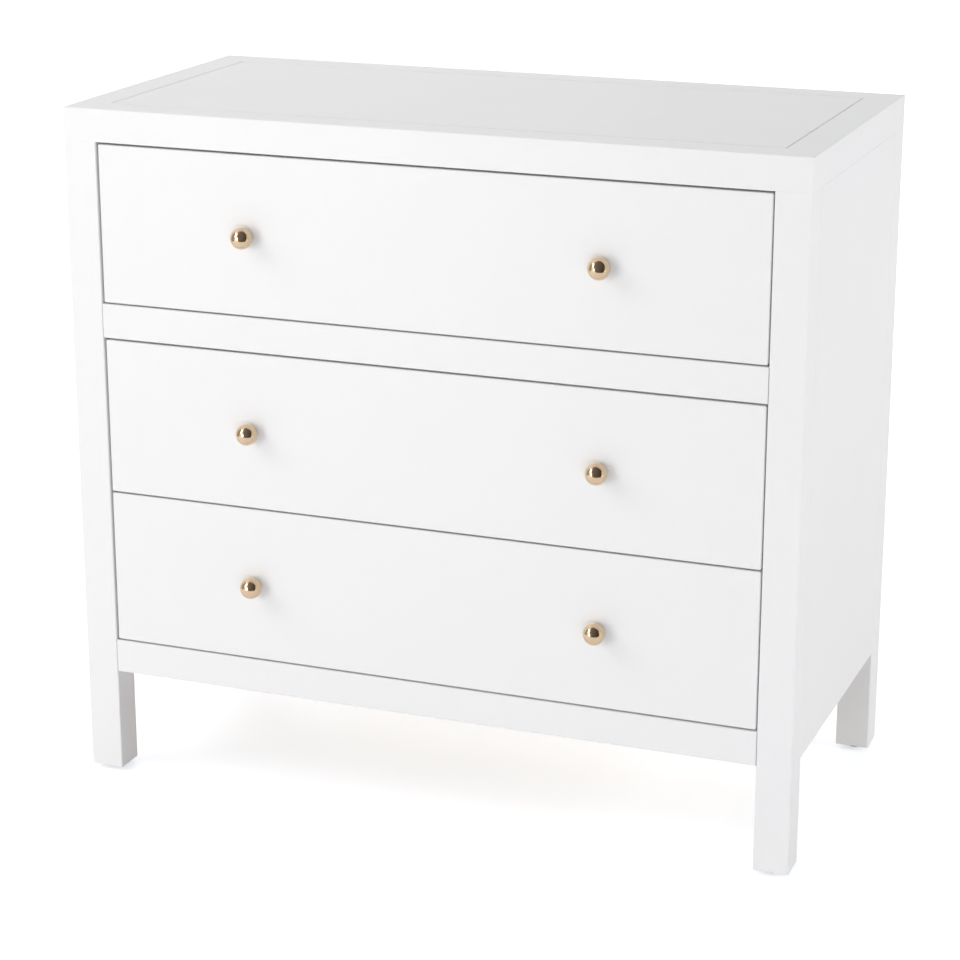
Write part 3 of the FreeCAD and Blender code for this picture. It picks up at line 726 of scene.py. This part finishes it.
def cage_tree():
    """Strips along Y with a row of round windows and a ball in each, one on each point."""
    tree, size = geometry_tree(
        "ball_cages",
        {
            "Strip Length": 140.0 * MM,
            "Strip Width": CAGE_WIDTH,
            "Strip Thickness": 0.7 * MM,
            "Ball Diameter": CAGE_BALL,
            "Ball Count": 13,
        },
    )
    sides = (size[f"Strip {side}"] for side in ("Width", "Length", "Thickness"))
    strip = add(tree, "GeometryNodeMeshCube", {"Size": combined(tree, *sides)})
    reach = math_of(tree, "MULTIPLY", size["Strip Length"], 0.47)
    row = add(
        tree,
        "GeometryNodeMeshLine",
        {
            "Count": size["Ball Count"],
            "Start Location": combined(tree, y=math_of(tree, "MULTIPLY", reach, -1.0)),
            "Offset": combined(tree, y=reach),
        },
        mode="END_POINTS",
    )
    window = add(
        tree,
        "GeometryNodeMeshCylinder",
        {
            "Vertices": 16,
            "Radius": math_of(tree, "MULTIPLY", size["Ball Diameter"], 0.53),
            "Depth": size["Ball Diameter"],
        },
    )
    windows = add(
        tree,
        "GeometryNodeInstanceOnPoints",
        {"Points": row.outputs[0], "Instance": window.outputs["Mesh"]},
    )
    punches = add(tree, "GeometryNodeRealizeInstances", {0: windows.outputs[0]})
    punched = boolean(tree, "DIFFERENCE", strip.outputs["Mesh"], punches.outputs[0])
    ball = add(
        tree,
        "GeometryNodeMeshIcoSphere",
        {"Radius": math_of(tree, "DIVIDE", size["Ball Diameter"], 2.0), "Subdivisions": 2},
    )
    round_ball = add(tree, "GeometryNodeSetShadeSmooth", {"Geometry": ball.outputs["Mesh"]})
    balls = add(
        tree,
        "GeometryNodeInstanceOnPoints",
        {"Points": row.outputs[0], "Instance": round_ball.outputs[0]},
    )
    loaded = add(tree, "GeometryNodeJoinGeometry", {0: punched})
    tree.links.new(balls.outputs[0], loaded.inputs[0])
    cages = add(
        tree,
        "GeometryNodeInstanceOnPoints",
        {"Points": size["Geometry"], "Instance": loaded.outputs[0], "Rotation": facing(tree)},
    )
    end_tree(tree, cages.outputs[0], size["Finish"])
    return tree


def slide_screw_places(number, member, side_face, way):
    """Screws along the webs of one kind of member, on both sides.

    Their heads look outwards for a `way` of 1, and inwards for -1.
    """
    low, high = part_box(f"drawer_{number}_slide_{member}")
    along = between(low.y + SLIDE_SCREW_INSET, high.y - SLIDE_SCREW_INSET, SLIDE_SCREWS)
    web = side_face + way * SLIDE_STEEL
    return [
        (Vector((side * web, y, (low.z + high.z) / 2)), Vector((side * way, 0, 0)))
        for side in (-1, 1)
        for y in along
    ]


cages = cage_tree()
oiled_steel = cage_steel()
upward = Vector((0, 0, 1))
for number in DRAWERS:
    box_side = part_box(f"drawer_{number}_side_right")[1].x
    runner_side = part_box(f"drawer_{number}_slide_outer")[1].x
    grow(
        f"drawer_{number}_box_slide_screws",
        f"drawer_{number}",
        pan_head_screws,
        slide_screw_places(number, "inner", box_side, 1),
        screw_zinc,
        "zinc_plated_steel",
        head_diameter=SLIDE_SCREW_HEAD,
        head_height=BOX_SCREW_HEIGHT,
        seed=20 + number,
    )
    grow(
        f"drawer_{number}_runner_slide_screws",
        "carcass",
        pan_head_screws,
        slide_screw_places(number, "outer", runner_side, -1),
        screw_zinc,
        "zinc_plated_steel",
        head_diameter=SLIDE_SCREW_HEAD,
        head_height=RUNNER_SCREW_HEIGHT,
        seed=30 + number,
    )
    for kind in ("outer", "inner"):
        low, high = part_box(f"drawer_{number}_{kind}_cages")
        out = high.x - CAGE_WIDTH / 2
        places = [
            (Vector((x, (low.y + high.y) / 2, z)), upward)
            for x in (-out, out)
            for z in (low.z + CAGE_BALL / 2, high.z - CAGE_BALL / 2)
        ]
        piece = grow(
            f"drawer_{number}_{kind}_ball_cages",
            f"drawer_{number}_{kind}_ball_cages",
            cages,
            places,
            oiled_steel,
            "ball_cage_steel",
        )
        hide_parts(f"drawer_{number}_{kind}_cages")

# ------------------------------------------------------------------ studio
# The chest stands on a plain pale floor in a cool white room. Two soft, slightly warm lamps light
# it from the front left, one of them high. Others fill the right side, the back, legs and top.

ROOM_LIGHT = 0.37
ROOM_TINT = (0.93, 0.955, 1.0, 1)
FLOOR_COLOUR = (0.885, 0.888, 0.92, 1)
FLOOR_HALF = 30.0
FLOOR_GLOW = 0.55  # what the eye sees added to the lit floor, near the chest
FLOOR_GLOW_TINT = (0.927, 0.965, 1.0, 1)
MIRRORED_GLOW = 0.45  # the share of that glow which gloss and metal mirror
FADE_START, FADE_END = 1.2, 4.0  # how far off the floor turns into the white of the room
# tint of the cards that paint reflections
CARD_TINT = (1, 0.98, 0.95, 1)
WARM_LAMPLIGHT = (1.0, 0.968, 0.915)
COOL_LAMPLIGHT = (0.975, 0.98, 1.0)


def seen_directly(tree, mirrored=1.0):
    """1 for rays from the eye, `mirrored` off gloss or through glass, and 0 for giving light."""
    path = add(tree, "ShaderNodeLightPath").outputs
    bounced = math_of(tree, "MAXIMUM", path["Is Glossy Ray"], path["Is Transmission Ray"])
    dimmed = math_of(tree, "MULTIPLY", bounced, mirrored)
    return math_of(tree, "MAXIMUM", path["Is Camera Ray"], dimmed)


def white_room():
    """A world that lights everything softly and is white where it is seen or mirrored."""
    world = bpy.data.worlds.new("white_room")
    world.use_nodes = True
    bpy.context.scene.world = world
    tree = world.node_tree
    light = tree.nodes["Background"]
    light.inputs["Color"].default_value = ROOM_TINT
    light.inputs["Strength"].default_value = ROOM_LIGHT
    seen = add(tree, "ShaderNodeBackground", {"Color": (1, 1, 1, 1), "Strength": 1.0})
    choice = {0: seen_directly(tree), 1: light.outputs[0], 2: seen.outputs[0]}
    mixed = add(tree, "ShaderNodeMixShader", choice)
    tree.links.new(mixed.outputs[0], tree.nodes["World Output"].inputs["Surface"])


def staged_sheet(name, corners):
    """A four-cornered sheet that isn't part of the chest, and its bare material's tree."""
    mesh = bpy.data.meshes.new(name)
    mesh.from_pydata(corners, [], [(0, 1, 2, 3)])
    sheet = bpy.data.objects.new(name, mesh)
    bpy.context.scene.collection.objects.link(sheet)
    sheet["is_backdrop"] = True
    material = bpy.data.materials.new(name)
    material.use_nodes = True
    mesh.materials.append(material)
    tree = material.node_tree
    tree.nodes.remove(tree.nodes["Principled BSDF"])
    return sheet, tree


def pale_floor():
    """A matt floor that reads as white, keeps the chest's shadow and fades into the room."""
    turns = ((-1, -1), (1, -1), (1, 1), (-1, 1))
    _, tree = staged_sheet("floor", [(x * FLOOR_HALF, y * FLOOR_HALF, 0) for x, y in turns])
    matt = add(tree, "ShaderNodeBsdfDiffuse", {"Color": FLOOR_COLOUR})
    place = add(tree, "ShaderNodeTexCoord").outputs["Object"]
    away = add(tree, "ShaderNodeVectorMath", {0: place}, operation="LENGTH").outputs["Value"]
    glow = spread(tree, away, FLOOR_GLOW, 1.0, FADE_START, FADE_END)
    strength = math_of(tree, "MULTIPLY", glow, seen_directly(tree, MIRRORED_GLOW))
    lit = add(tree, "ShaderNodeEmission", {"Color": FLOOR_GLOW_TINT, "Strength": strength})
    both = add(tree, "ShaderNodeAddShader", {0: matt.outputs[0], 1: lit.outputs[0]})
    tree.links.new(both.outputs[0], tree.nodes["Material Output"].inputs["Surface"])


def mirrored_card(name, azimuth, foot, head, half_width, shades):
    """A leaning card that only gloss and metal mirror: a painted reflection of a darker part of
    the room, which neither lights nor shades anything.

    `foot` and `head` are the middles of its lower and upper edge: distance out, and height.
    `shades` are the painted reflection's brightness at its leftmost and its rightmost corner.
    """
    turn = math.radians(azimuth)
    out = Vector((math.sin(turn), -math.cos(turn), 0))
    across = Vector((math.cos(turn), math.sin(turn), 0))
    corners = [
        distance * out + side * half_width * across + Vector((0, 0, height))
        for distance, height, side in ((*foot, -1), (*foot, 1), (*head, 1), (*head, -1))
    ]
    card, tree = staged_sheet(name, corners)
    place = add(tree, "ShaderNodeTexCoord").outputs["Object"]
    along = add(tree, "ShaderNodeSeparateXYZ", {0: place}).outputs["X"]
    ends = [corner.x for corner in corners]
    strength = spread(tree, along, *shades, min(ends), max(ends))
    glow = add(tree, "ShaderNodeEmission", {"Color": CARD_TINT, "Strength": strength})
    tree.links.new(glow.outputs[0], tree.nodes["Material Output"].inputs["Surface"])
    for rays in ("camera", "diffuse", "shadow", "transmission", "volume_scatter"):
        setattr(card, "visible_" + rays, False)


def soft_lamp(name, azimuth, elevation, distance, size, power, tint, mirrored=False):
    """A lamp aimed at the chest's middle. Azimuth 0 is straight in front, and 90 is right.

    `size` is its width and height in metres, and `power` is in watts.
    """
    lamp = bpy.data.lights.new(name, "AREA")
    lamp.shape = "RECTANGLE"
    lamp.size, lamp.size_y = size
    lamp.energy = power
    lamp.color = tint
    holder = bpy.data.objects.new(name, lamp)
    bpy.context.scene.collection.objects.link(holder)
    turn, tilt = math.radians(azimuth), math.radians(elevation)
    level = Vector((math.sin(turn), -math.cos(turn), 0))
    way = math.cos(tilt) * level + Vector((0, 0, math.sin(tilt)))
    holder.location = (cad_low + cad_high) / 2 + distance * way
    holder.rotation_euler = way.to_track_quat("Z", "Y").to_euler()
    holder.visible_glossy = mirrored


white_room()
pale_floor()
# Painted reflections: two glowing cards, seen only in gloss and metal, put dark patches in the
# knobs.
mirrored_card("dark_reflection_card", 27, (1.45, 0.002), (-0.1, 3.0), 1.1, (0.3, 0.0))
mirrored_card("dim_left_reflection_card", -88, (1.9, 0.002), (1.9, 2.2), 1.3, (0.42, 0.42))
soft_lamp("key_lamp", -56, 35, 3.8, (2.1, 1.9), 38, WARM_LAMPLIGHT, mirrored=True)
soft_lamp("front_lamp", -23, 8, 4.0, (1.6, 1.6), 36, WARM_LAMPLIGHT, mirrored=True)
soft_lamp("side_lamp", 98, 14, 4.6, (1.8, 1.8), 66, WARM_LAMPLIGHT)
soft_lamp("back_lamp", 208, 18, 4.6, (2.0, 2.0), 76, WARM_LAMPLIGHT)
soft_lamp("low_lamp", 24, 1, 3.6, (1.8, 0.6), 22, COOL_LAMPLIGHT)
soft_lamp("top_lamp", 0, 88, 2.8, (2.2, 2.2), 8.5, COOL_LAMPLIGHT)

# ------------------------------------------------------------------ camera
# The camera stands three metres off, in front of the chest and to its right. It looks down on it
# a little, through a long lens.

EYE = Vector((1.027, -2.682, 1.238))
AIM = Vector((-0.001, -0.014, 0.342))
LENS = 100.0
SENSOR = 36.0

bpy.context.scene.view_settings.view_transform = "Standard"
camera = bpy.data.objects.new("camera", bpy.data.cameras.new("camera"))
bpy.context.scene.collection.objects.link(camera)
camera.data.lens = LENS
camera.data.sensor_width = SENSOR
camera.location = EYE
camera.rotation_euler = (EYE - AIM).to_track_quat("Z", "Y").to_euler()
bpy.context.scene.camera = camera

low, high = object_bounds()
